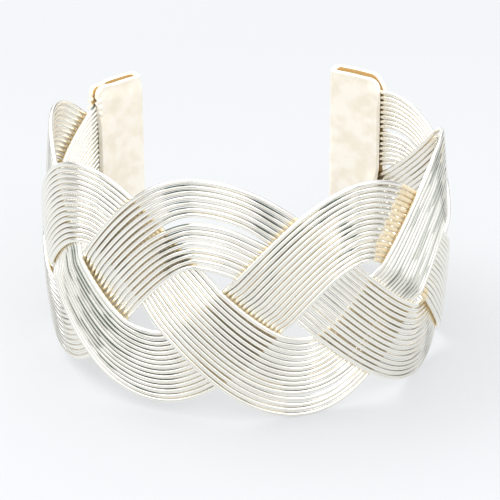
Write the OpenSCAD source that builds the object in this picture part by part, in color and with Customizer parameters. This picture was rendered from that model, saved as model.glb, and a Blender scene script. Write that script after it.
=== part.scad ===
// Woven cuff bracelet: three flat strands of fifteen round wires each, plaited around the
// front of the wrist and crimped at both ends into folded sheet caps with a gap between them.
// The cuff stands on its lower rim. Angles are plan angles in degrees: 0 is the front (-Y),
// 90 the wearer's side at +X, and the gap lies around 180. Heights are from mid-height.

/* [Oval] */
// Half the width of the oval that the weave follows
oval_a = 31.5; // [27:0.1:38]
// Half the depth of that oval
oval_b = 28.3; // [25:0.1:34]
// How far the rims lean in, measured at lean_height above and below mid-height
lean = 1.2; // [0:0.1:2]
// Height at which the lean is measured
lean_height = 19; // [15:0.5:24]

/* [Wires] */
// Wires side by side in a strand
wires = 15; // [11:2:17]
// Diameter of a wire
wire_d = 0.76; // [0.6:0.02:0.8]
// How far a strand swings out or in of the oval as it passes over or under another
swing = 0.58; // [0.52:0.01:0.6]
// Shortest length over which a strand settles from over to under
settle = 0.8; // [0.7:0.1:1.2]
// Share of a strand's slope that its cross-section takes up (the rest is a vertical shear)
square_share = 0.5; // [0.4:0.05:0.6]

/* [Strands] */
// Plan angle at which the wires end inside the caps
strand_end = 137; // [134:0.5:139]
// First strand's turning points: [angle, height of the centre line, wire spacing]
turns_1 = [
    [-146.4, 7.9, 0.79],
    [-74.4, -11.8, 0.84],
    [-71.1, -11.4, 0.88],
    [-17.4, 13.1, 0.96],
    [59.5, -13.9, 0.88],
    [125.1, 7.1, 0.89],
    [153.2, 3.5, 0.9]
]; // [-165:165, -15:15, 0.75:1]
// Second strand's turning points, in the same columns
turns_2 = [
    [-135.9, -9.5, 0.78],
    [-120.6, -13.1, 0.82],
    [-54.3, 11.7, 0.85],
    [14.1, -13.5, 0.96],
    [73.8, 10.3, 0.93],
    [146.5, -10.1, 0.8]
]; // [-165:165, -15:15, 0.75:1]
// Third strand's turning points, in the same columns
turns_3 = [
    [-158.3, -5.3, 0.84],
    [-100.6, 12.1, 0.85],
    [-30.9, -12.3, 0.86],
    [29.5, 11.1, 0.87],
    [96.8, -14.1, 0.87],
    [150.2, -8.4, 0.78]
]; // [-165:165, -15:15, 0.75:1]

/* [End caps] */
// Plan angle of the open edge that the wires enter
cap_open = 132; // [129:0.5:133]
// Plan angle of the folded edge at the gap
cap_fold = 149.8; // [147:0.1:152]
// Height of a cap
cap_h = 31.9; // [30:0.1:34]
// Height of the caps' middle, so that the lowest wires still end inside them
cap_mid = -0.7; // [-1:0.1:0]
// Thickness of the cap's sheet
sheet_t = 0.6; // [0.4:0.05:0.8]
// Width of the slot between the two leaves
slot_w = 2.1; // [2:0.05:2.2]
// Radius of the two corners at the open edge
corner_r = 2.3; // [1:0.1:3]

/* [Hidden] */
tables = [turns_1, turns_2, turns_3];
ANGLE = 0;
HEIGHT = 1;
SPACING = 2;
wire_r = wire_d / 2;
mid = (wires - 1) / 2;
rings = 67;
slope_step = 0.01;
// Depth of the groove between two wires, and of the plain back, from the strand's middle
groove = 0.12;
back = 0.22;
// The lean fades out between these angles, so that the caps stand upright
fade_from = 118;
fade_to = cap_open;
cap_t = slot_w + 2 * sheet_t;
cap_steps = 6;
bend_steps = 8;

// Arc length of the oval for each degree of plan angle
function speed(t) = norm([oval_a * cos(t), oval_b * sin(t)]) * PI / 180;

// Outward unit normal of the oval
function normal(t) =
    let (n = [sin(t) / oval_a, -cos(t) / oval_b])
    n / norm(n);

function fade(t) = (1 - cos(180 * max(0, min(1, (fade_to - abs(t)) / (fade_to - fade_from))))) / 2;

// Point at plan angle t and height z, out from the barrel surface by d
function place(t, z, d) =
    let (off = d - lean * pow(z / lean_height, 2) * fade(t))
    let (p = [oval_a * sin(t), -oval_b * cos(t)] + off * normal(t))
    [p[0], p[1], z];

// A column of a table of turning points, with half cosines from each row to the next
function row_before(table, t) = max([for (i = [0 : len(table) - 2]) table[i][ANGLE] <= t ? i : 0]);
function along(table, t, column) =
    let (i = row_before(table, t), p = table[i], q = table[i + 1])
    let (done = (1 - cos(180 * (t - p[ANGLE]) / (q[ANGLE] - p[ANGLE]))) / 2)
    p[column] + (q[column] - p[column]) * done;
function centre(table, t) = along(table, t, HEIGHT);
function spacing(table, t) = along(table, t, SPACING);

function slope(table, t) =
    atan((centre(table, t + slope_step) - centre(table, t - slope_step)) / (2 * slope_step * speed(t)));

// Half the height of a strand's band, measured straight up
function half_band(table, t) =
    let (s = slope(table, t))
    (mid * spacing(table, t) + wire_r) * cos(s * square_share) / cos(s);

// How much room a strand leaves at height z: below 0 on the strand, above 0 beside it
function beside(table, t, z) = abs(z - centre(table, t)) - half_band(table, t);

// Distance to a strand that stays above 0, also where it lies over or under the other
function room(d) = settle * ln(1 + exp(d / settle));

// Each strand lies over the next one and under the one after it
function swing_at(n, t, z) =
    let (below = room(beside(tables[(n + 1) % 3], t, z)))
    let (above = room(beside(tables[(n + 2) % 3], t, z)))
    swing * sin(90 * (above - below) / (above + below));

// Point of strand n: across is measured over the strand's width, up from its surface
function on_strand(n, t, across, up) =
    let (tilt = slope(tables[n], t) * square_share)
    let (at = t - across * sin(tilt) / speed(t))
    let (z = centre(tables[n], t) + across * cos(tilt))
    place(at, z, swing_at(n, at, z) + up);

// Cross-section: lower edge, ridges and grooves outside, upper edge, then the plain back
function section(n, t) =
    let (p = spacing(tables[n], t), reach = mid * p + wire_r)
    concat(
        [on_strand(n, t, -reach, 0)],
        [for (k = [0 : 2 * wires - 2]) on_strand(n, t, (k / 2 - mid) * p, k % 2 == 0 ? wire_r : groove)],
        [on_strand(n, t, reach, 0)],
        [for (k = [wires - 1 : -2 : 0]) on_strand(n, t, (k - mid) * p, -back)]
    );

ridges = 2 * wires - 1;
backs = (wires + 1) / 2;
ring_n = ridges + 2 + backs;

// End face: a fan of five triangles for each pair of wires, and one at each edge
function end_face(first) =
    let (low = first, high = first + ridges + 1)
    concat(
        [[low, low + 1, first + ring_n - 1], [high, high + 1, high - 1]],
        [for (i = [0 : backs - 2])
            let (b = first + ring_n - 1 - i, o = first + 1 + 4 * i)
            each [[b, o, o + 1], [b, o + 1, o + 2], [b, o + 2, b - 1],
                [b - 1, o + 2, o + 3], [b - 1, o + 3, o + 4]]]
    );

function turned(faces) = [for (f = faces) [f[2], f[1], f[0]]];

side_faces = [for (r = [0 : rings - 2], k = [0 : ring_n - 1])
    let (a = r * ring_n + k, b = r * ring_n + (k + 1) % ring_n)
    each [[a, b, b + ring_n], [a, b + ring_n, a + ring_n]]];

strand_faces = concat(side_faces, turned(end_face(0)), end_face((rings - 1) * ring_n));

strand_points = [for (n = [0 : 2])
    [for (r = [0 : rings - 1]) each section(n, strand_end * (2 * r / (rings - 1) - 1))]];

// Plan outline of a leaf pair bent around the fold, out from the middle by r
turn_at = cap_fold - cap_t / 2 / speed(cap_fold);
function middle(t) = [oval_a * sin(t), -oval_b * cos(t)];
function leaf(r) = [for (i = [0 : cap_steps])
    let (t = cap_open + (turn_at - cap_open) * i / cap_steps)
    middle(t) + r * normal(t)];
function bend(r) = [for (i = [1 : bend_steps - 1])
    let (n = normal(turn_at), q = 180 * i / bend_steps)
    middle(turn_at) + r * (cos(q) * n + sin(q) * [-n[1], n[0]])];
function reversed(v) = [for (i = [len(v) - 1 : -1 : 0]) v[i]];
function loop(r) = concat(leaf(r), bend(r), reversed(leaf(-r)));

// The origin is at the middle of the footprint, on the surface that the cuff stands on
all_points = [for (s = strand_points) each s];
lift = -min([for (p = all_points) p[2]]);
front = min([for (p = all_points) p[1]]);
rear = max([for (p = loop(cap_t / 2)) p[1]]);
left = min([for (p = all_points) p[0]]);
right = max([for (p = all_points) p[0]]);
shift = [-(left + right) / 2, -(front + rear) / 2, lift];

// One strand of the braid as a ribbon with a ridge for each wire
module strand(n) {
    translate(shift) polyhedron(points = strand_points[n], faces = strand_faces, convexity = 10);
}

module strand_1() {
    color("silver") strand(0);
}

module strand_2() {
    color("silver") strand(1);
}

module strand_3() {
    color("silver") strand(2);
}

// Outline of a cap seen square on, with both corners of the open edge rounded
module cap_face(w) {
    translate([corner_r, -cap_h / 2]) square([w - corner_r, cap_h]);
    translate([0, corner_r - cap_h / 2]) square([w, cap_h - 2 * corner_r]);
    for (s = [-1, 1]) translate([corner_r, s * (cap_h / 2 - corner_r)]) circle(r = corner_r, $fn = 48);
}

// Sheet folded in two around the ends of the wires, open at the top, bottom and outer edge
module end_cap() {
    a = middle(cap_open);
    b = middle(cap_fold);
    intersection() {
        translate([0, 0, cap_mid - cap_h / 2]) linear_extrude(cap_h) polygon(concat(
            loop(cap_t / 2),
            reversed(loop(slot_w / 2))
        ));
        translate([a[0], a[1], cap_mid]) rotate([90, 0, atan2(b[1] - a[1], b[0] - a[0])])
            linear_extrude(4 * cap_t, center = true) cap_face(2 * norm(b - a));
    }
}

module end_cap_right() {
    color("burlywood") translate(shift) end_cap();
}

module end_cap_left() {
    color("burlywood") translate(shift) mirror([1, 0, 0]) end_cap();
}

strand_1();
strand_2();
strand_3();
end_cap_left();
end_cap_right();
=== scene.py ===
import math
import random
from collections import namedtuple

import bmesh
import bpy
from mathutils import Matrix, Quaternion, Vector, noise


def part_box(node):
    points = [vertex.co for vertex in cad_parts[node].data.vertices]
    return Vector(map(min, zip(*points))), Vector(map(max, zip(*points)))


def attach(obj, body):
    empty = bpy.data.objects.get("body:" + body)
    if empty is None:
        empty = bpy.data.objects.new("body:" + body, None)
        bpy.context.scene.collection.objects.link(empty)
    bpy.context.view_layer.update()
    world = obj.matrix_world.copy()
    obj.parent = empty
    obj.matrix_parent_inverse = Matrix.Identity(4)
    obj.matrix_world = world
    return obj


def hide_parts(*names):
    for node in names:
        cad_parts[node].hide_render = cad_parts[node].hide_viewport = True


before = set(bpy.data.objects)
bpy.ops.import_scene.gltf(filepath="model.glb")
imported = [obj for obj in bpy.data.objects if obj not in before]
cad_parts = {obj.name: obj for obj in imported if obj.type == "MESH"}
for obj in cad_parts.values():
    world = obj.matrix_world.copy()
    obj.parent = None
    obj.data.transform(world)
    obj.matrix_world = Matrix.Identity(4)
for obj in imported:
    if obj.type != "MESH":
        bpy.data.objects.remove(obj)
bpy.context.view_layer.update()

bl_info = {
    "name": "Woven wire cuff",
    "version": (1, 0, 0),
    "blender": (4, 5, 0),
    "location": "View3D > Sidebar > Cuff",
    "description": "Dresses an open cuff of plaited wire strands and folded end caps",
    "category": "Object",
}

MM = 0.001

# Turning points of each strand's centre line: plan angle in degrees from the front, height from
# mid-height and wire spacing in millimetres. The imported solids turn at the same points, apart
# from one short bend of strand_1 that round wires can't follow, which is smoothed here
Turn = namedtuple("Turn", "angle height spacing")
STRANDS = {
    "strand_1": [
        Turn(-146.4, 7.9, 0.79),
        Turn(-72.8, -11.8, 0.86),
        Turn(-17.4, 13.1, 0.96),
        Turn(59.5, -13.9, 0.88),
        Turn(125.1, 7.1, 0.89),
        Turn(153.2, 3.5, 0.9),
    ],
    "strand_2": [
        Turn(-135.9, -9.5, 0.78),
        Turn(-120.6, -13.1, 0.82),
        Turn(-54.3, 11.7, 0.85),
        Turn(14.1, -13.5, 0.96),
        Turn(73.8, 10.3, 0.93),
        Turn(146.5, -10.1, 0.8),
    ],
    "strand_3": [
        Turn(-158.3, -5.3, 0.84),
        Turn(-100.6, 12.1, 0.85),
        Turn(-30.9, -12.3, 0.86),
        Turn(29.5, 11.1, 0.87),
        Turn(96.8, -14.1, 0.87),
        Turn(150.2, -8.4, 0.78),
    ],
}
NAMES = list(STRANDS)

# Places where the painted shade and reflections between the wires are darker: the plan angle of the
# middle and half the length in degrees, the shares of the strand's width from and to (-1 is its lower
# edge), how dark the lines are, how golden (0 is grey-green), and how far they spread over the wires
Stain = namedtuple("Stain", "strand angle spread low high depth warmth width")
DARKER_SHADES = [
    Stain("strand_1", -23, 4, -0.85, 0.9, 1.0, 0.0, 0.5),
    Stain("strand_1", -33, 6, -0.9, 0.6, 0.5, 0.7, 0.0),
    Stain("strand_1", -36, 5, 0.3, 0.95, 0.4, 0.4, 0.0),
    Stain("strand_1", 6, 8, 0.0, 0.95, 1.0, 0.0, 0.6),
    Stain("strand_1", 30, 8, -0.7, 0.8, 0.3, 0.5, 0.0),
    Stain("strand_2", -3, 10, -0.1, 0.9, 0.9, 0.0, 0.0),
    Stain("strand_2", -12, 6, -0.9, -0.1, 0.5, 0.5, 0.0),
    Stain("strand_2", 11, 4, -1.0, 0.9, 0.6, 0.05, 0.15),
    Stain("strand_2", 56, 17, -0.85, 0.95, 0.75, 0.2, 0.8),
    Stain("strand_2", -44, 6, 0.2, 0.95, 0.6, 0.1, 0.1),
    Stain("strand_2", -59, 12, -0.95, 0.95, 0.4, 0.5, 0.0),
    Stain("strand_3", 22, 5, -0.55, 0.95, 1.0, 0.0, 0.6),
    Stain("strand_3", 7, 5, 0.3, 0.95, 0.8, 0.1, 0.15),
    Stain("strand_3", 13, 10, -0.9, 0.4, 0.5, 0.9, 0.0),
    Stain("strand_3", 36, 7, -0.95, 0.95, 0.5, 0.4, 0.15),
    Stain("strand_3", -52, 16, -0.75, 0.85, 1.0, 0.05, 0.62),
    Stain("strand_3", -33, 10, -0.8, 0.85, 0.95, 0.1, 0.35),
    Stain("strand_3", -104, 6, -0.4, 0.9, 0.6, 0.1, 0.15),
]

# Places where the wires get painted tan shade and reflection before they slip under another strand:
# the plan angles from and to, and how far the tan reaches from the covering strand's edge in
# millimetres
Bare = namedtuple("Bare", "strand low high reach")
TAN_SHADES = [
    Bare("strand_3", 34, 58, 3.3),
    Bare("strand_3", 60, 74, 1.4),
]

# Wider gaps between two wires of a strand: the number of the gap from the lower edge, the plan
# angle of its middle and half its length, and its share next to a plain gap's of about 1
Parting = namedtuple("Parting", "strand gap angle spread weight")
PARTINGS = [
    Parting("strand_1", 7, -13, 13, 13.0),
    Parting("strand_1", 4, -14, 11, 3.5),
    Parting("strand_1", 3, -14, 11, 3.5),
    Parting("strand_1", 0, -12, 9, 3.5),
    Parting("strand_1", 6, 119, 14, 7.0),
    Parting("strand_1", 4, -128, 9, 7.0),
]

# A cap's side, the heights above its middle between which the strands in it change from two
# layers to one, the shares of its width between which its slot widens towards the fold, the
# radius of its corners at the open edge, whether it is crimped shut beside its upper corner, and
# how wide its slot stays at the top and bottom, as a share of the usual width there. Heights and
# the radius are in metres
CapForm = namedtuple("CapForm", "side single_from widens corner crimped open_share")
CAPS = {
    "end_cap_left": CapForm(-1, (0.0095, 0.0115), (0.12, 0.5), 0.0011, True, 1.0),
    "end_cap_right": CapForm(1, (-0.002, 0.0005), (0.0, 0.4), 0.0023, False, 1.5),
}

# The crimp beside the left cap's upper corner has a zigzag of teeth, and a small opening above
# them that it shuts off from the slot. Sizes and depths below the cap's top are in millimetres,
# and shares are of the way from the open edge to the fold
TOOTH = 1.15
TEETH_FROM = (1.2, 1.9)
TEETH_TO = (5.2, 4.4)
TEETH_SHARE = (0.11, 0.01)
OPENING = 0.4
OPENING_FROM = (1.6, 0.5)
OPENING_SHARE = (0.17, 0.08)
SHUT_SHARE = (0.42, 0.3)

# Patterns along the wires come from one noise field. Each pattern has a layer of its own, and
# each wire and each strand has a lane of its own
STREAK_LAYER = 0.5
TAN_SHADE_LAYER = 3.5
FINE_LAYER = 7.5
WARMTH_LAYER = 13.5
RAGGED_LAYER = 21.5
WIRE_LANE = 3.7
TAN_SHADE_LANE = 5.3
STRAND_LANE = 71.3

# How many times as fast as the streaks the finer pattern and the hue change along a wire
FINE_RATE = 2.7
WARMTH_RATE = 0.7

# How dark a line's painted shade is away from its streaks, how much darker in them, and how wide
# it is away from the listed darker places
PLAIN_DEPTH = 0.15
STREAK_DEPTH = 0.4
PLAIN_WIDTH = 0.1

# How far a darker place wanders at each end from wire to wire in degrees, and the shares of its
# half length between which it fades out
RAGGED = 2.5
DARKER_SHADE_FADE = (1.15, 0.75)

# A line's painted shade grows lighter by this share where its wire comes this near to the strand
# over it
NEAR_LIGHTER = 0.35
NEAR = (1.2 * MM, 0.2 * MM)

# Plan angles between which the wires get a painted shadow on their way into the left cap
LEFT_CAP_SHADOW = (math.radians(-129.4), math.radians(-130.4))

# Least clearance between two wires
HAIRLINE = 0.012 * MM

# Dents of the caps' faces per metre
DENTS = 320

# Where the studio's light changes. Heights are sines of the angle above the horizon, the
# corners lie between plan angles beside and behind the cuff, and a gap between two of the soft
# boxes around it darkens between two cosines
WALL_TOP = (0.3, 0.42)
GAP_TOP = (0.45, 0.7)
RING_TOP = (0.5, 0.75)
CORNER_TOP = (0.55, 0.7)
CORNER_FROM = (math.radians(88), math.radians(105))
CORNER_TO = (math.radians(148), math.radians(160))
GAP_EDGE = (0.6, 0.93)

# A square soft box: its place and size in metres, and the setting that holds its power
SoftBox = namedtuple("SoftBox", "name spot size power")
SOFT_BOXES = [
    SoftBox("top_box", (-0.9, 0.4, 1.3), 1.2, "top"),
    SoftBox("front_box", (0.35, -1.1, 1.0), 1.0, "front"),
]


def length(name, millimetres, description):
    """A size property with its default given in millimetres."""
    return bpy.props.FloatProperty(
        name=name, description=description, default=millimetres * MM, unit="LENGTH", precision=5
    )


def degrees(name, value, description):
    """An angle property with its default given in degrees."""
    return bpy.props.FloatProperty(
        name=name, description=description, default=math.radians(value), subtype="ANGLE"
    )


def share(name, value, description):
    """A plain number property."""
    return bpy.props.FloatProperty(name=name, description=description, default=value, precision=4)


def tint(name, value, description):
    """A colour property."""
    return bpy.props.FloatVectorProperty(
        name=name, description=description, default=value, subtype="COLOR", size=3, min=0, max=1
    )


class CuffBraid(bpy.types.PropertyGroup):
    """Sizes of the oval, the strands and their wires."""

    half_width: length("Oval half width", 31.5, "Half the width of the oval that the braid follows")
    half_depth: length("Oval half depth", 28.3, "Half the depth of that oval")
    lean: length("Lean", 1.2, "How far the rims lean in at the lean height")
    lean_height: length("Lean height", 19.0, "Height at which the lean is measured")
    fade_from: degrees("Lean fades from", 118, "Plan angle at which the lean begins to fade")
    wires: bpy.props.IntProperty(name="Wires", description="Wires side by side", default=15, min=3)
    wire_diameter: length("Wire diameter", 0.76, "Diameter of a wire")
    swing: length("Swing", 0.44, "How far a strand swings out or in at a crossing")
    settle: length("Settle", 0.6, "Shortest length over which a strand goes from over to under")
    square_share: share("Square share", 0.5, "Share of the slope that a cross-section takes up")
    wire_end: degrees("Wire end", 137, "Plan angle at which the wires end inside the caps")
    unevenness: share("Unevenness", 0.45, "How unevenly the gaps between the wires are shared out")
    # The wires that slip under a strand get golden painted shade
    tuck: length("Tuck", 0.15, "How far from a strand's edge the wires that slip under it turn golden")
    # A streak is a run of darker painted shade along a line between two wires
    streak: length("Streak", 6.0, "Usual length of a streak in a line between two wires")
    seed: bpy.props.IntProperty(name="Seed", description="Seed of the uneven gaps", default=7)
    step: degrees("Step", 0.9, "Plan angle between two points of a wire")
    sides: bpy.props.IntProperty(name="Sides", description="Sides of a round wire", default=12)


class CuffCap(bpy.types.PropertyGroup):
    """Sizes of a folded end cap."""

    open_angle: degrees("Open edge", 132, "Plan angle of the edge that the wires enter")
    fold_angle: degrees("Folded edge", 149.8, "Plan angle of the folded edge at the gap")
    middle: length("Middle", -0.7, "Height of the caps' middle from the braid's")
    thickness: length("Thickness", 3.3, "Thickness of the folded cap over both leaves at the fold")
    sheet: length("Sheet", 0.85, "Thickness of the sheet")
    single: length("Single slot", 0.84, "Width of the slot at the open edge over one strand")
    double: length("Double slot", 1.66, "Width of the slot at the open edge over two strands")
    rim_slot: length("Slot at the ends", 1.0, "Width of the slot at the cap's top and bottom")
    pressed: length("Pressed length", 2.6, "Length over which the slot narrows towards those ends")
    pinch: length("Pinch", 0.2, "Width of the slot where a cap is pinched at its open corner")
    crimp: length("Crimp", 0.3, "Depth of the crimps beside the left cap's upper corner")
    squareness: share("Squareness", 3.5, "How square the fold is (2 is round)")
    rim: length("Rim", 0.26, "Width of the rounding along the sheet's edges")
    dents: length("Dents", 0.05, "Depth of the soft dents in the faces")


class CuffFinish(bpy.types.PropertyGroup):
    """Colours of the finishes, and of the painted shade, reflections and shadow on the wires."""

    silver: tint("Silver", (0.945, 0.925, 0.865), "Colour of the plated wires")
    # The lines between the wires are painted: grey for the shade between them and for dark reflections,
    # golden for their reflections of each other, lighter inside the cuff
    gold_shade_and_reflection: tint("Gold patina", (0.90, 0.70, 0.34), "Colour of the golden lines between wires")
    grey_line_shade: tint("Grey patina", (0.11, 0.14, 0.12), "Colour of the dark lines between wires")
    inner_line_shade: tint("Inner patina", (0.90, 0.84, 0.71), "Colour of the lines inside the cuff")
    # Golden painted shade where a wire slips under others
    tucked_shade: tint("Tucked wires", (0.94, 0.81, 0.55), "Colour of a wire where it slips under others")
    # Tan painted shade and reflection where wires slip under another strand
    tan_shade_colour: tint("Bare brass", (0.76, 0.63, 0.40), "Colour of the bare brass")
    champagne: tint("Champagne", (0.97, 0.92, 0.83), "Colour of the caps' satin faces")
    gold: tint("Gold", (0.86, 0.64, 0.30), "Colour inside the caps' slots")
    paper: tint("Paper", (0.25, 0.254, 0.258), "Colour of the floor")
    glow: tint("Glow", (0.97, 0.985, 1.0), "Colour of the floor's light from below")
    sky: tint("Sky", (0.97, 0.985, 1.0), "Colour of the light from all around")


class CuffStage(bpy.types.PropertyGroup):
    """The camera's place and the strength of the lights."""

    elevation: degrees("Elevation", 26.79, "Camera's angle above the horizon")
    azimuth: degrees("Azimuth", -3.75, "Camera's turn from straight in front")
    roll: degrees("Roll", 0.27, "Camera's roll")
    distance: length("Distance", 447.8, "Camera's distance from the middle of the braid")
    aim_right: length("Aim right", 0.5, "How far right of the braid's middle the camera aims")
    aim_down: length("Aim down", 4.64, "How far below the braid's middle the camera aims")
    lens: bpy.props.FloatProperty(name="Lens", description="Focal length in millimetres", default=203.66)
    ceiling: share("Ceiling", 1.7, "Strength of the light from above")
    ring: share("Ring", 1.65, "Strength of the soft boxes around the cuff")
    wall: share("Wall", 0.6, "Share of the soft boxes' light that comes from below them")
    sides: share("Dark sides", 0.6, "Share of the light that comes from the dark back corners")
    gap: share("Gap", 0.2, "Share of that light that comes from the dark gaps")
    boxes: bpy.props.IntProperty(name="Soft boxes", description="Soft boxes around the cuff", default=8)
    first_gap: degrees("First gap", -29, "Direction of a dark gap between two soft boxes")
    top: share("Top light", 14.0, "Power of the soft box above the left, in watts")
    front: share("Front light", 5.0, "Power of the soft box in front, in watts")
    glow: share("Glow", 0.49, "Strength of the floor's light from below")


SETTINGS = {
    "cuff_braid": CuffBraid,
    "cuff_cap": CuffCap,
    "cuff_finish": CuffFinish,
    "cuff_stage": CuffStage,
}


def oval_speed(braid, t):
    """Arc length of the oval for each radian of plan angle."""
    return math.hypot(braid.half_width * math.cos(t), braid.half_depth * math.sin(t))


def oval_point(braid, t):
    """Point of the oval at a plan angle, in the plane."""
    return Vector((braid.half_width * math.sin(t), -braid.half_depth * math.cos(t)))


def oval_normal(braid, t):
    """Outward unit normal of the oval."""
    return Vector((math.sin(t) / braid.half_width, -math.cos(t) / braid.half_depth)).normalized()


def ease(f):
    """Half cosine from 0 to 1."""
    return (1 - math.cos(math.pi * max(0.0, min(1.0, f)))) / 2


def smooth(low, high, value):
    """Smooth step from 0 at low to 1 at high, also where high is the smaller one."""
    f = max(0.0, min(1.0, (value - low) / (high - low)))
    return f * f * (3 - 2 * f)


def braid_middle():
    """The braid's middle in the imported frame, found from the boxes of the caps' solids."""
    braid, cap = bpy.context.scene.cuff_braid, bpy.context.scene.cuff_cap
    left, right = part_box("end_cap_left"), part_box("end_cap_right")
    turn = fold_turn(braid, cap)
    steps = 8
    rear = max(
        (oval_point(braid, turn)
         + cap.thickness / 2 * bend_direction(braid, turn, math.pi * i / steps)).y
        for i in range(steps + 1)
    )
    return Vector((
        (left[0].x + right[1].x) / 2,
        right[1].y - rear,
        (left[0].z + left[1].z) / 2 - cap.middle,
    ))


def place(braid, t, z, out):
    """Point at plan angle t and height z, out from the braid's barrel surface."""
    upright = bpy.context.scene.cuff_cap.open_angle
    fade = ease((upright - abs(t)) / (upright - braid.fade_from))
    off = out - braid.lean * (z / braid.lean_height) ** 2 * fade
    p = oval_point(braid, t) + off * oval_normal(braid, t)
    return Vector((p.x, p.y, z))


def along(turns, t):
    """Height of the centre line and wire spacing at a plan angle in degrees, in metres."""
    i = max([k for k in range(len(turns) - 1) if turns[k].angle <= t] or [0])
    p, q = turns[i], turns[i + 1]
    f = (1 - math.cos(math.pi * (t - p.angle) / (q.angle - p.angle))) / 2
    height = p.height + (q.height - p.height) * f
    spacing = p.spacing + (q.spacing - p.spacing) * f
    return height * MM, spacing * MM


def slope(braid, name, t):
    """Angle of a strand's centre line above the horizontal."""
    step = 0.01
    degree = math.degrees(t)
    rise = along(STRANDS[name], degree + step)[0] - along(STRANDS[name], degree - step)[0]
    return math.atan2(rise, 2 * math.radians(step) * oval_speed(braid, t))


def beside(braid, name, t, z):
    """Room that a strand leaves at height z: below 0 on the strand, above 0 beside it."""
    height, spacing = along(STRANDS[name], math.degrees(t))
    angle = slope(braid, name, t)
    half = (braid.wires - 1) / 2 * spacing + braid.wire_diameter / 2
    return abs(z - height) - half * math.cos(angle * braid.square_share) / math.cos(angle)


def room(braid, distance):
    """Distance to a strand that stays above 0, also over or under it."""
    return braid.settle * math.log(1 + math.exp(distance / braid.settle))


def swing_at(braid, index, t, z):
    """How far strand number index lies out, and its distances from the next and the last strand.

    It lies over the next one and under the last, and flat in the middle where it enters a cap alone.
    """
    below = beside(braid, NAMES[(index + 1) % 3], t, z)
    above = beside(braid, NAMES[(index + 2) % 3], t, z)
    low, high = room(braid, below), room(braid, above)
    alone = smooth(0.5 * MM, 3 * MM, min(below, above))
    entering = smooth(braid.fade_from, bpy.context.scene.cuff_cap.open_angle, abs(t))
    out = braid.swing * math.sin(math.pi / 2 * (high - low) / (high + low)) * (1 - alone * entering)
    return out, below, above


class GapShares:
    """Smooth uneven shares of a strand's play between its wires, along the strand."""

    def __init__(self, name, count, unevenness, seed):
        draw = random.Random(seed)
        slow, fast = 2.5, 8.0
        self.partings = [row for row in PARTINGS if row.strand == name]
        self.unevenness = unevenness
        self.waves = [
            [(draw.uniform(slow, fast), draw.uniform(0, 2 * math.pi)) for _ in range(3)]
            for _ in range(count)
        ]

    def at(self, t):
        """Shares at a plan angle, which add up to one."""
        raw = [
            math.exp(self.unevenness * sum(math.sin(rate * t + start) for rate, start in waves))
            for waves in self.waves
        ]
        for row in self.partings:
            raw[row.gap] += row.weight * math.exp(-(((math.degrees(t) - row.angle) / row.spread) ** 4))
        return [r / sum(raw) for r in raw]


def wire_offsets(braid, spacing, tilt, shares):
    """Places of the wires over a strand's width, never closer than a wire's diameter."""
    closest = min(spacing, (braid.wire_diameter + HAIRLINE) / math.cos(tilt))
    play = (braid.wires - 1) * (spacing - closest)
    offsets = [-(braid.wires - 1) / 2 * spacing]
    for part in shares:
        offsets.append(offsets[-1] + closest + play * part)
    return offsets


def line_shade_at(name, number, count, t, run, streak):
    """How dark, golden and wide the painted shade beside a wire is, run metres along the wire.

    Streaks come and go along each wire on their own, and a darker place is ragged at both ends.
    """
    across = 2 * number / (count - 1) - 1
    lane = number * WIRE_LANE + NAMES.index(name) * STRAND_LANE
    wave = noise.noise(Vector((run / streak, lane, STREAK_LAYER)))
    fine = noise.noise(Vector((run / streak * FINE_RATE, lane, FINE_LAYER)))
    depth = PLAIN_DEPTH + STREAK_DEPTH * smooth(-0.15, 0.2, wave + 0.3 * fine)
    hue = noise.noise(Vector((run / streak * WARMTH_RATE, lane, WARMTH_LAYER)))
    warmth = 0.5 + 1.1 * hue
    width = PLAIN_WIDTH
    streaky = 0.5 + 0.5 * smooth(-0.15, 0.15, wave + 0.5 * fine)
    degree = math.degrees(t)
    for row in DARKER_SHADES:
        if row.strand != name or not row.low - 0.1 <= across <= row.high + 0.1:
            continue
        ragged = RAGGED * noise.noise(Vector((lane, row.angle, RAGGED_LAYER)))
        weight = smooth(*DARKER_SHADE_FADE, abs(degree - row.angle - ragged) / row.spread)
        depth += weight * (row.depth - depth) * streaky
        warmth += weight * 0.8 * (row.warmth - warmth)
        width += weight * (row.width - width)
    return max(0.0, min(1.0, depth)), smooth(0.3, 0.7, warmth), width


def tan_shade_at(name, number, t, above):
    """How much painted tan shade a wire has, by its distance from the strand that lies over it."""
    degree = math.degrees(t)
    bare = 0.0
    for row in TAN_SHADES:
        if row.strand == name and row.low <= degree <= row.high:
            uneven = noise.noise(Vector((number * TAN_SHADE_LANE, row.low, TAN_SHADE_LAYER)))
            reach = row.reach + 0.45 * uneven
            blur = 0.12
            bare = max(bare, smooth((reach + blur) * MM, (reach - blur) * MM, above))
    return bare


# A point of a wire: its place, the braid's outward direction, the direction over the strand's
# width, the edge that it lies at (1 upper, -1 lower), its distances from the strands under and
# over it, how dark, golden and wide the painted shade beside it is, how much painted tan shade it
# has, and how near it is to the left cap, where it gets a painted shadow
WirePoint = namedtuple(
    "WirePoint", "place outward side edge below above stain warmth width bare ends"
)


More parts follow.
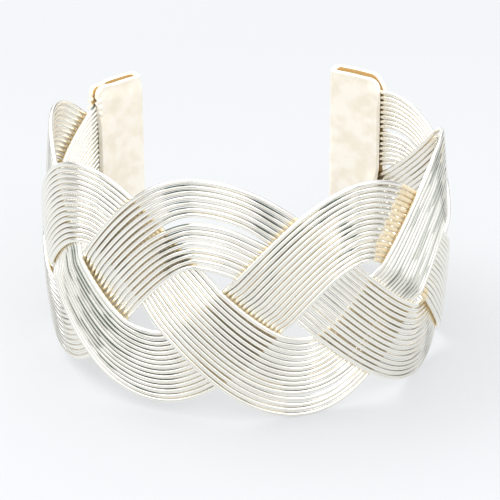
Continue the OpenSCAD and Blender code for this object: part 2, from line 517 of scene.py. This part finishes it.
def wire_routes(name):
    """The centre lines of a strand's wires, as lists of wire points."""
    braid = bpy.context.scene.cuff_braid
    index = NAMES.index(name)
    under, over = NAMES[(index + 1) % 3], NAMES[(index + 2) % 3]
    shift = braid_middle()
    gaps = GapShares(name, braid.wires - 1, braid.unevenness, braid.seed + index)
    routes = [[] for _ in range(braid.wires)]
    runs = [0.0] * braid.wires
    # A slanting section starts before the wires' end for some wires and behind it for others
    reach = braid.wire_end + math.radians(8)
    count = round(2 * reach / braid.step)
    for k in range(count + 1):
        t = reach * (2 * k / count - 1)
        height, spacing = along(STRANDS[name], math.degrees(t))
        tilt = slope(braid, name, t) * braid.square_share
        offsets = wire_offsets(braid, spacing, tilt, gaps.at(t))
        for n, across in enumerate(offsets):
            at = t - across * math.sin(tilt) / oval_speed(braid, t)
            if abs(at) > braid.wire_end:
                continue
            z = height + across * math.cos(tilt)
            out, below, above = swing_at(braid, index, at, z)
            outward = oval_normal(braid, at).to_3d()
            edge = (n == len(offsets) - 1) - (n == 0)
            run = Vector((-outward.y, outward.x, 0))
            side = math.cos(tilt) * Vector((0, 0, 1)) - math.sin(tilt) * run
            spot = place(braid, at, z, out) + shift
            if routes[n]:
                runs[n] += (spot - routes[n][-1].place).length
            below *= math.cos(slope(braid, under, at))
            above *= math.cos(slope(braid, over, at))
            # The stain value here is how dark the painted shade and reflections beside this wire are
            stain, warmth, width = line_shade_at(name, n, braid.wires, at, runs[n], braid.streak)
            stain *= 1 - NEAR_LIGHTER * smooth(*NEAR, above)
            bare = tan_shade_at(name, n, at, above)
            # How deep the painted shadow is on the way into the left cap
            ends = smooth(*LEFT_CAP_SHADOW, at)
            routes[n].append(WirePoint(
                spot, outward, side, edge, below, above, stain, warmth, width * stain, bare, ends
            ))
    return routes


def new_socket(tree, label, kind, default=None):
    """A named input of a node tree."""
    socket = tree.interface.new_socket(label, in_out="INPUT", socket_type=kind)
    if default is not None:
        socket.default_value = default
    return socket


def wire_tree():
    """Geometry Nodes that turn centre lines into round wires with closed ends."""
    tree = bpy.data.node_groups.new("Round wires", "GeometryNodeTree")
    new_socket(tree, "Centre lines", "NodeSocketGeometry")
    new_socket(tree, "Wire Radius", "NodeSocketFloat", 0.38 * MM)
    new_socket(tree, "Sides", "NodeSocketInt", 12)
    new_socket(tree, "Finish", "NodeSocketMaterial")
    tree.interface.new_socket("Wires", in_out="OUTPUT", socket_type="NodeSocketGeometry")
    nodes, links = tree.nodes, tree.links
    start = nodes.new("NodeGroupInput")
    lines = nodes.new("GeometryNodeMeshToCurve")
    ring = nodes.new("GeometryNodeCurvePrimitiveCircle")
    sweep = nodes.new("GeometryNodeCurveToMesh")
    soften = nodes.new("GeometryNodeSetShadeSmooth")
    real = nodes.new("GeometryNodeRealizeInstances")
    paint = nodes.new("GeometryNodeSetMaterial")
    end = nodes.new("NodeGroupOutput")
    sweep.inputs["Fill Caps"].default_value = True
    links.new(start.outputs["Centre lines"], lines.inputs["Mesh"])
    links.new(start.outputs["Sides"], ring.inputs["Resolution"])
    links.new(start.outputs["Wire Radius"], ring.inputs["Radius"])
    links.new(lines.outputs["Curve"], sweep.inputs["Curve"])
    links.new(ring.outputs["Curve"], sweep.inputs["Profile Curve"])
    links.new(sweep.outputs["Mesh"], soften.inputs["Geometry"])
    links.new(soften.outputs["Geometry"], real.inputs["Geometry"])
    links.new(real.outputs["Geometry"], paint.inputs["Geometry"])
    links.new(start.outputs["Finish"], paint.inputs["Material"])
    links.new(paint.outputs["Geometry"], end.inputs["Wires"])
    return tree


def set_input(modifier, label, value):
    """Sets a Geometry Nodes input by its socket's identifier."""
    for item in modifier.node_group.interface.items_tree:
        if item.item_type == "SOCKET" and item.in_out == "INPUT" and item.name == label:
            modifier[item.identifier] = value
            return
    raise KeyError(label)


def plain_mesh(carrier, name):
    """The evaluated mesh of an object as a piece of its own; the carrier is removed."""
    graph = bpy.context.evaluated_depsgraph_get()
    mesh = bpy.data.meshes.new_from_object(
        carrier.evaluated_get(graph), preserve_all_data_layers=True, depsgraph=graph
    )
    mesh.name = name
    source = carrier.data
    bpy.data.objects.remove(carrier)
    bpy.data.meshes.remove(source)
    return linked_object(name, mesh)


def linked_object(name, data):
    """A new object at the origin, in the scene."""
    thing = bpy.data.objects.new(name, data)
    bpy.context.scene.collection.objects.link(thing)
    return thing


def make_strand(name, tree, finish):
    """One strand's round wires, standing for its ribbon."""
    braid = bpy.context.scene.cuff_braid
    points, edges = [], []
    for route in wire_routes(name):
        first = len(points)
        points += route
        edges += [(i, i + 1) for i in range(first, len(points) - 1)]
    mesh = bpy.data.meshes.new(name + "_lines")
    mesh.from_pydata([p.place for p in points], edges, [])
    for label in ("outward", "side"):
        values = [c for p in points for c in getattr(p, label)]
        mesh.attributes.new(label, "FLOAT_VECTOR", "POINT").data.foreach_set("vector", values)
    # Golden painted shade on a wire's inside where it lies over a strand, and on its outside where it
    # slips under one
    for label, key in (("tuck_in", "below"), ("tuck_out", "above")):
        values = [smooth(braid.tuck, -2 * braid.tuck, getattr(p, key)) for p in points]
        mesh.attributes.new(label, "FLOAT", "POINT").data.foreach_set("value", values)
    for label in ("edge", "stain", "warmth", "width", "bare", "ends"):
        values = [getattr(p, label) for p in points]
        mesh.attributes.new(label, "FLOAT", "POINT").data.foreach_set("value", values)
    carrier = linked_object(name + "_lines", mesh)
    modifier = carrier.modifiers.new("Round wires", "NODES")
    modifier.node_group = tree
    set_input(modifier, "Wire Radius", braid.wire_diameter / 2)
    set_input(modifier, "Sides", braid.sides)
    set_input(modifier, "Finish", finish)
    piece = plain_mesh(carrier, name + "_wires")
    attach(piece, "root")
    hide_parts(name)


def fold_turn(braid, cap):
    """Plan angle around which the sheet is folded."""
    return cap.fold_angle - cap.thickness / 2 / oval_speed(braid, cap.fold_angle)


def bend_direction(braid, turn, angle, squareness=2):
    """Where the fold's outline lies at an angle round it; a squarer fold has flatter sides."""
    normal = oval_normal(braid, turn)
    onward = Vector((-normal.y, normal.x))
    aside, ahead = math.cos(angle), math.sin(angle)
    power = 2 / squareness
    return math.copysign(abs(aside) ** power, aside) * normal + ahead ** power * onward


def slot_width(cap, name, share_in, z, half_height):
    """Width of a cap's slot, share_in of the way from the open edge to the fold, at height z."""
    form = CAPS[name]
    level = 0.4 * MM
    end = smooth(half_height - cap.pressed, half_height - level, abs(z))
    full = cap.thickness - 2 * cap.sheet
    fold = full + (cap.rim_slot * form.open_share - full) * end
    layers = smooth(*form.single_from, z)
    edge = cap.double + (cap.single - cap.double) * layers
    edge += (cap.pinch - edge) * end
    if form.crimped and z > 0:
        opening = cap.pinch + OPENING * MM * smooth(*OPENING_SHARE, share_in)
        edge += (opening - edge) * smooth(*OPENING_FROM, (half_height - z) / MM)
        fold += (cap.pinch - fold) * end * smooth(*SHUT_SHARE, share_in)
    return edge + (fold - edge) * smooth(*form.widens, share_in)


def crimp_shift(cap, name, share_in, z, half_height):
    """How far both leaves swing out together where the open edge is crimped in a zigzag."""
    if not CAPS[name].crimped:
        return 0.0
    down = (half_height - z) / MM
    fade = smooth(*TEETH_FROM, down) * smooth(*TEETH_TO, down) * smooth(*TEETH_SHARE, share_in)
    return cap.crimp * fade * math.sin(2 * math.pi * down / TOOTH)


def cap_profile(braid, cap, name, z, half_height, skin):
    """Plan points of a folded sheet from the outer leaf's edge round to the inner leaf's."""
    turn = fold_turn(braid, cap)
    leaf_steps, bend_steps = 26, 14
    inset = corner_inset(CAPS[name].corner, z, half_height)
    start = cap.open_angle + inset / oval_speed(braid, cap.open_angle)
    angles = [start + (turn - start) * i / leaf_steps for i in range(leaf_steps + 1)]
    depths = [(t - cap.open_angle) / (turn - cap.open_angle) for t in angles]
    outs = [
        slot_width(cap, name, depth, z, half_height) / 2 + (cap.sheet if skin == 0 else 0)
        for depth in depths
    ]
    shifts = [crimp_shift(cap, name, depth, z, half_height) for depth in depths]
    outer = [
        oval_point(braid, t) + (out + off) * oval_normal(braid, t)
        for t, out, off in zip(angles, outs, shifts)
    ]
    bend = [
        oval_point(braid, turn)
        + outs[-1] * bend_direction(braid, turn, math.pi * i / bend_steps, cap.squareness)
        for i in range(1, bend_steps)
    ]
    inner = [
        oval_point(braid, t) - (out - off) * oval_normal(braid, t)
        for t, out, off in zip(angles, outs, shifts)
    ]
    return outer + bend + inner[::-1]


def corner_inset(radius, z, half_height):
    """How far the open edge draws back near a rounded corner."""
    into = abs(z) - (half_height - radius)
    if into <= 0:
        return 0.0
    return radius - math.sqrt(max(0.0, radius ** 2 - into ** 2))


def cap_heights(radius, half_height):
    """Heights of the rows of a cap, closer together in its rounded corners."""
    rows = 150
    straight = half_height - radius
    middle = [straight * (2 * i / rows - 1) for i in range(rows + 1)]
    corner = [straight + radius * math.sin(math.pi / 2 * i / 10) for i in range(1, 11)]
    return [-z for z in reversed(corner)] + middle + corner


def make_cap(name, finishes):
    """One folded cap as a closed sheet with soft rims and dents, standing for its solid."""
    braid, cap = bpy.context.scene.cuff_braid, bpy.context.scene.cuff_cap
    low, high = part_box(name)
    half_height = (high.z - low.z) / 2
    side = CAPS[name].side
    shift = braid_middle()
    points, faces, slots = [], [], []
    heights = cap_heights(CAPS[name].corner, half_height)
    for skin in (0, 1):
        for z in heights:
            for p in cap_profile(braid, cap, name, z, half_height, skin):
                dent = cap.dents * noise.noise(Vector((p.x, p.y * side, z)) * DENTS)
                q = Vector((p.x * side, p.y, z + cap.middle)) + shift
                points.append(q + Vector((p.x * side, p.y, 0)).normalized() * dent)
    across = len(points) // (2 * len(heights))
    rows = len(heights)

    def at(skin, row, k):
        """Number of point k of a row, on the outer skin (0) or in the slot (1)."""
        return (skin * rows + row) * across + k

    for row in range(rows - 1):
        for k in range(across - 1):
            for skin in (0, 1):
                faces.append((
                    at(skin, row, k), at(skin, row + 1, k),
                    at(skin, row + 1, k + 1), at(skin, row, k + 1),
                ))
                slots.append(skin)
    for row in (0, rows - 1):
        for k in range(across - 1):
            faces.append((at(0, row, k), at(0, row, k + 1), at(1, row, k + 1), at(1, row, k)))
            slots.append(0)
    for k in (0, across - 1):
        for row in range(rows - 1):
            faces.append((at(0, row, k), at(0, row + 1, k), at(1, row + 1, k), at(1, row, k)))
            slots.append(0)
    mesh = bpy.data.meshes.new(name + "_sheet")
    mesh.from_pydata(points, [], faces)
    for finish in finishes:
        mesh.materials.append(finish)
    mesh.polygons.foreach_set("material_index", slots)
    carrier = linked_object(name + "_sheet_base", mesh)
    settle_normals(mesh)
    bevel = carrier.modifiers.new("Rims", "BEVEL")
    bevel.width = cap.rim
    bevel.segments = 3
    bevel.limit_method = "ANGLE"
    bevel.angle_limit = math.radians(50)
    bevel.harden_normals = False
    piece = plain_mesh(carrier, name + "_sheet")
    piece.data.shade_smooth()
    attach(piece, "root")
    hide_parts(name)


def settle_normals(mesh):
    """Turns every face of a closed mesh outwards."""
    build = bmesh.new()
    build.from_mesh(mesh)
    bmesh.ops.recalc_face_normals(build, faces=build.faces)
    build.to_mesh(mesh)
    build.free()


class Graph:
    """The nodes of a material or a world, with short ways to add and link them."""

    def __init__(self, tree):
        self.nodes = tree.nodes
        self.links = tree.links

    def join(self, value, socket):
        """Links a socket to an input, or sets the input to plain numbers."""
        if isinstance(value, bpy.types.NodeSocket):
            self.links.new(value, socket)
        elif socket.type == "RGBA":
            socket.default_value = (*value, 1)
        else:
            socket.default_value = value

    def coordinates(self):
        """The place of a surface point on its object."""
        return self.nodes.new("ShaderNodeTexCoord").outputs["Object"]

    def axes(self, vector):
        """The X, Y and Z of a vector."""
        split = self.nodes.new("ShaderNodeSeparateXYZ")
        self.join(vector, split.inputs["Vector"])
        return split.outputs

    def attribute(self, label, output="Fac"):
        """A named attribute of the mesh."""
        node = self.nodes.new("ShaderNodeAttribute")
        node.attribute_name = label
        return node.outputs[output]

    def pattern(self, where, per_metre, detail):
        """A noise pattern at a scale given per metre."""
        node = self.nodes.new("ShaderNodeTexNoise")
        node.inputs["Scale"].default_value = per_metre
        node.inputs["Detail"].default_value = detail
        self.join(where, node.inputs["Vector"])
        return node.outputs["Fac"]

    def span(self, value, from_low, from_high, to_low=0.0, to_high=1.0):
        """Maps a value from one range to another, and stops at its ends."""
        node = self.nodes.new("ShaderNodeMapRange")
        node.inputs["From Min"].default_value = from_low
        node.inputs["From Max"].default_value = from_high
        node.inputs["To Min"].default_value = to_low
        node.inputs["To Max"].default_value = to_high
        self.join(value, node.inputs["Value"])
        return node.outputs["Result"]

    def math(self, operation, *values):
        """A Math node; its inputs are sockets or numbers."""
        node = self.nodes.new("ShaderNodeMath")
        node.operation = operation
        for socket, value in zip(node.inputs, values):
            self.join(value, socket)
        return node.outputs["Value"]

    def times(self, first, second):
        """The product of two values."""
        return self.math("MULTIPLY", first, second)

    def dot(self, first, second):
        """The dot product of two directions."""
        node = self.nodes.new("ShaderNodeVectorMath")
        node.operation = "DOT_PRODUCT"
        self.join(first, node.inputs[0])
        self.join(second, node.inputs[1])
        return node.outputs["Value"]

    def mix(self, factor, first, second):
        """Mixes two colours by a factor; a colour is a socket or three numbers."""
        node = self.nodes.new("ShaderNodeMix")
        node.data_type = "RGBA"
        sockets = [socket for socket in node.inputs if socket.type == "RGBA"]
        self.join(first, sockets[0])
        self.join(second, sockets[1])
        self.join(factor, node.inputs["Factor"])
        return next(socket for socket in node.outputs if socket.type == "RGBA")

    def bump(self, shader, height, distance, strength):
        """Bump on a shader's normal."""
        node = self.nodes.new("ShaderNodeBump")
        node.inputs["Distance"].default_value = distance
        node.inputs["Strength"].default_value = strength
        self.join(height, node.inputs["Height"])
        self.join(node.outputs["Normal"], shader.inputs["Normal"])


def new_finish(name, colour, metallic, roughness):
    """A material with its main shader and the graph to add to."""
    finish = bpy.data.materials.new(name)
    finish.use_nodes = True
    shader = finish.node_tree.nodes["Principled BSDF"]
    shader.inputs["Base Color"].default_value = (*colour, 1)
    shader.inputs["Metallic"].default_value = metallic
    shader.inputs["Roughness"].default_value = roughness
    return finish, shader, Graph(finish.node_tree)


def line_depth(graph, over, outer):
    """How dark the painted shade and reflections between the wires are: fainter inside, and none at a
    strand's edges.
    """
    free = graph.times(over, graph.attribute("edge"))
    between = graph.span(free, 0.1, 0.5, 1.0, 0.0)
    # The stain attribute holds how dark the painted shade is along the wire
    depth = graph.times(between, graph.span(graph.attribute("stain"), 0.0, 1.0, 0.1, 1.0))
    return graph.times(depth, graph.span(outer, 0.0, 1.0, 0.25, 1.0))


def tucked_shade_share(graph, facing):
    """How much golden painted shade a wire has: its inside where it lies over a strand, its outside
    under one.
    """
    tuck_in = graph.times(graph.span(facing, -0.1, -0.35), graph.attribute("tuck_in"))
    tuck_out = graph.times(graph.span(facing, 0.1, 0.35), graph.attribute("tuck_out"))
    return graph.math("MAXIMUM", tuck_in, tuck_out)


def silver_wire():
    """Polished silver plate, with painted shade and reflections between the wires, and golden and tan
    painted shade where they slip under a strand.
    """
    look = bpy.context.scene.cuff_finish
    finish, shader, graph = new_finish("silver_wire", look.silver, 1.0, 0.2)
    where = graph.coordinates()
    normal = graph.nodes.new("ShaderNodeNewGeometry").outputs["Normal"]
    facing = graph.dot(normal, graph.attribute("outward", "Vector"))
    over = graph.dot(normal, graph.attribute("side", "Vector"))
    outer = graph.span(facing, -0.1, 0.1)
    warmth = graph.attribute("warmth")
    depth = line_depth(graph, over, outer)

    # Painted shade lies where a wire's surface faces the next wire, not out of the braid or into it
    faced = graph.math("ABSOLUTE", facing)
    widened = graph.math("MULTIPLY_ADD", graph.attribute("width"), -0.5, faced)
    groove = graph.times(graph.span(widened, 0.62, 0.42), depth)
    groove = graph.times(groove, graph.span(warmth, 0.0, 1.0, 1.0, 0.7))

    # A painted reflection runs along a wire's middle, a finer line of the opposite hue as dark as the
    # line beside it, which splits the wire's highlight in two
    from_reflected_line = graph.math("ABSOLUTE", graph.math("SUBTRACT", over, 0.1))
    reflected_line = graph.times(graph.span(from_reflected_line, 0.03, 0.17, 0.75, 0.0), depth)

    # Painted shade and reflections between the wires, from grey to golden by warmth, lighter inside the
    # cuff
    line_shade = graph.mix(warmth, look.grey_line_shade, look.gold_shade_and_reflection)
    line_shade = graph.mix(outer, look.inner_line_shade, line_shade)
    # The painted reflection's colour: faint gold beside grey lines, grey beside golden ones, lighter
    # inside the cuff
    faint_gold = tuple(0.6 * c for c in look.gold_shade_and_reflection)
    other = graph.mix(warmth, faint_gold, look.grey_line_shade)
    other = graph.mix(outer, look.inner_line_shade, other)

    tuck = tucked_shade_share(graph, facing)
    # Painted tan shade and reflection, blotchy, on a wire's outside; the lines there are fainter and the
    # surface rougher and less metallic
    bare = graph.times(graph.attribute("bare"), outer)
    blotches = graph.span(graph.pattern(where, 1600, 2), 0.4, 0.6, 0.7, 1.0)
    colour = graph.mix(reflected_line, look.silver, other)
    # Golden painted shade where a wire slips under another strand
    colour = graph.mix(tuck, colour, look.tucked_shade)
    colour = graph.mix(graph.times(bare, blotches), colour, look.tan_shade_colour)
    # The lines turn golden too in that painted shade
    line_shade = graph.mix(tuck, line_shade, look.gold_shade_and_reflection)
    shown = graph.times(groove, graph.span(bare, 0.0, 1.0, 1.0, 0.35))
    colour = graph.mix(shown, colour, line_shade)
    # Painted shadow between the wires on their way into the left cap
    ends = graph.times(graph.span(faced, 0.75, 0.5), graph.attribute("ends"))
    colour = graph.mix(ends, colour, look.grey_line_shade)
    graph.join(colour, shader.inputs["Base Color"])

    # The golden painted shade and reflections and the painted tan shade are less metallic
    golden = graph.math("MAXIMUM", tuck, graph.times(shown, warmth))
    dulled = graph.math("MAXIMUM", bare, golden)
    graph.join(graph.span(dulled, 0.0, 1.0, 1.0, 0.2), shader.inputs["Metallic"])
    polish = graph.span(graph.pattern(where, 900, 3), 0.3, 0.7, 0.14, 0.24)
    graph.join(graph.math("MULTIPLY_ADD", bare, 0.4, polish), shader.inputs["Roughness"])
    graph.bump(shader, graph.pattern(where, 700, 2), 0.02 * MM, 0.6)
    return finish


def cap_satin():
    """Satin champagne plate with soft blotches and fine grain."""
    look = bpy.context.scene.cuff_finish
    finish, shader, graph = new_finish("cap_satin", look.champagne, 0.2, 0.45)
    where = graph.coordinates()
    blotch = graph.pattern(where, 330, 6)
    graph.join(graph.span(blotch, 0.3, 0.7, 0.34, 0.5), shader.inputs["Roughness"])
    dimming = (0.93, 0.90, 0.85)
    darker = tuple(c * f for c, f in zip(look.champagne, dimming))
    colour = graph.mix(graph.span(blotch, 0.42, 0.6), look.champagne, darker)
    graph.join(colour, shader.inputs["Base Color"])
    graph.bump(shader, graph.pattern(where, 1400, 3), 0.03 * MM, 0.5)
    return finish


def slot_gold():
    """Dull gold-brown inside the fold."""
    look = bpy.context.scene.cuff_finish
    finish, shader, graph = new_finish("slot_gold", look.gold, 0.4, 0.5)
    stain = graph.pattern(graph.coordinates(), 500, 3)
    graph.join(graph.span(stain, 0.3, 0.7, 0.38, 0.55), shader.inputs["Roughness"])
    return finish


def floor_paper():
    """Pale matt sheet, softly lit from below and a little less so behind the cuff."""
    look = bpy.context.scene.cuff_finish
    glow = bpy.context.scene.cuff_stage.glow
    finish, shader, graph = new_finish("floor_paper", look.paper, 0.0, 0.9)
    shader.inputs["Specular IOR Level"].default_value = 0.1
    shader.inputs["Emission Color"].default_value = (*look.glow, 1)
    back = graph.axes(graph.coordinates())["Y"]
    graph.join(graph.span(back, 0.0, 0.12, glow, 0.9 * glow), shader.inputs["Emission Strength"])
    return finish


def add_soft_box(box, watts, target):
    """A square area light that looks at a point."""
    data = bpy.data.lights.new(box.name, "AREA")
    data.shape = "SQUARE"
    data.size = box.size
    data.energy = watts
    lamp = linked_object(box.name, data)
    lamp.location = box.spot
    lamp.rotation_mode = "QUATERNION"
    lamp.rotation_quaternion = (target - Vector(box.spot)).to_track_quat("-Z", "Y")


def make_camera(middle):
    """The photograph's camera."""
    stage = bpy.context.scene.cuff_stage
    data = bpy.data.cameras.new("photo_camera")
    data.lens = stage.lens
    data.sensor_width = 36
    data.clip_start, data.clip_end = 0.01, 20
    camera = linked_object("photo_camera", data)
    flat = stage.distance * math.cos(stage.elevation)
    camera.location = middle + Vector((
        flat * math.sin(stage.azimuth),
        -flat * math.cos(stage.azimuth),
        stage.distance * math.sin(stage.elevation),
    ))
    back = (camera.location - middle).normalized()
    right = Vector((0, 0, 1)).cross(back).normalized()
    up = back.cross(right)
    aim = middle + right * stage.aim_right - up * stage.aim_down
    camera.rotation_mode = "QUATERNION"
    facing = (aim - camera.location).to_track_quat("-Z", "Y")
    camera.rotation_quaternion = facing @ Quaternion((0, 0, 1), -stage.roll)
    bpy.context.scene.camera = camera


def make_world(stage):
    """A bright ceiling over a ring of soft boxes with darker gaps, a dim wall and dim corners."""
    world = bpy.data.worlds.new("studio")
    bpy.context.scene.world = world
    world.use_nodes = True
    graph = Graph(world.node_tree)
    sight = graph.axes(graph.nodes.new("ShaderNodeTexCoord").outputs["Generated"])
    height = sight["Z"]
    ahead = graph.times(sight["Y"], -1.0)
    around = graph.math("ARCTAN2", sight["X"], ahead)
    turned = graph.math("MULTIPLY_ADD", around, stage.boxes, -stage.boxes * stage.first_gap)
    gap = graph.span(graph.math("COSINE", turned), *GAP_EDGE)
    gap = graph.times(gap, graph.span(height, *GAP_TOP, 1.0, 0.0))
    light = graph.span(height, *RING_TOP, stage.ring, stage.ceiling)
    light = graph.times(light, graph.span(gap, 0.0, 1.0, 1.0, stage.gap))
    light = graph.times(light, graph.span(height, *WALL_TOP, stage.wall, 1.0))
    aside = graph.math("ABSOLUTE", around)
    corner = graph.times(graph.span(aside, *CORNER_FROM), graph.span(aside, *CORNER_TO, 1.0, 0.0))
    corner = graph.times(corner, graph.span(height, *CORNER_TOP, 1.0, 0.0))
    light = graph.times(light, graph.span(corner, 0.0, 1.0, 1.0, stage.sides))
    background = graph.nodes["Background"]
    graph.join(bpy.context.scene.cuff_finish.sky, background.inputs["Color"])
    graph.join(light, background.inputs["Strength"])


class CUFF_OT_strands(bpy.types.Operator):
    """Make the round wires of the three strands"""

    bl_idname = "cuff.strands"
    bl_label = "Strands"

    def execute(self, context):
        tree = wire_tree()
        finish = silver_wire()
        for name in NAMES:
            make_strand(name, tree, finish)
        return {"FINISHED"}


class CUFF_OT_caps(bpy.types.Operator):
    """Make the two folded end caps"""

    bl_idname = "cuff.caps"
    bl_label = "End caps"

    def execute(self, context):
        finishes = [cap_satin(), slot_gold()]
        for name in CAPS:
            make_cap(name, finishes)
        return {"FINISHED"}


class CUFF_OT_stage(bpy.types.Operator):
    """Make the floor, the lights and the camera"""

    bl_idname = "cuff.stage"
    bl_label = "Stage"

    def execute(self, context):
        stage = context.scene.cuff_stage
        half = 2.0
        corners = [(-half, -half, 0), (half, -half, 0), (half, half, 0), (-half, half, 0)]
        mesh = bpy.data.meshes.new("floor")
        mesh.from_pydata(corners, [], [(0, 1, 2, 3)])
        mesh.materials.append(floor_paper())
        linked_object("floor", mesh)
        middle = braid_middle()
        make_world(stage)
        for box in SOFT_BOXES:
            add_soft_box(box, getattr(stage, box.power), middle)
        make_camera(middle)
        context.scene.view_settings.view_transform = "Standard"
        return {"FINISHED"}


class CUFF_PT_panel(bpy.types.Panel):
    """Steps of the cuff"""

    bl_label = "Woven cuff"
    bl_idname = "CUFF_PT_panel"
    bl_space_type = "VIEW_3D"
    bl_region_type = "UI"
    bl_category = "Cuff"

    def draw(self, context):
        for step in (CUFF_OT_strands, CUFF_OT_caps, CUFF_OT_stage):
            self.layout.operator(step.bl_idname)
        for name, group in SETTINGS.items():
            column = self.layout.column(align=True)
            for key in group.__annotations__:
                column.prop(getattr(context.scene, name), key)


CLASSES = (*SETTINGS.values(), CUFF_OT_strands, CUFF_OT_caps, CUFF_OT_stage, CUFF_PT_panel)


def register():
    """Registers the classes and the scene's settings."""
    for item in CLASSES:
        bpy.utils.register_class(item)
    for name, group in SETTINGS.items():
        setattr(bpy.types.Scene, name, bpy.props.PointerProperty(type=group))


def unregister():
    """Removes the settings and the classes."""
    for name in SETTINGS:
        delattr(bpy.types.Scene, name)
    for item in reversed(CLASSES):
        bpy.utils.unregister_class(item)


def main():
    """Makes the whole dressed cuff."""
    register()
    bpy.ops.cuff.strands()
    bpy.ops.cuff.caps()
    bpy.ops.cuff.stage()


if __name__ == "__main__":
    main()
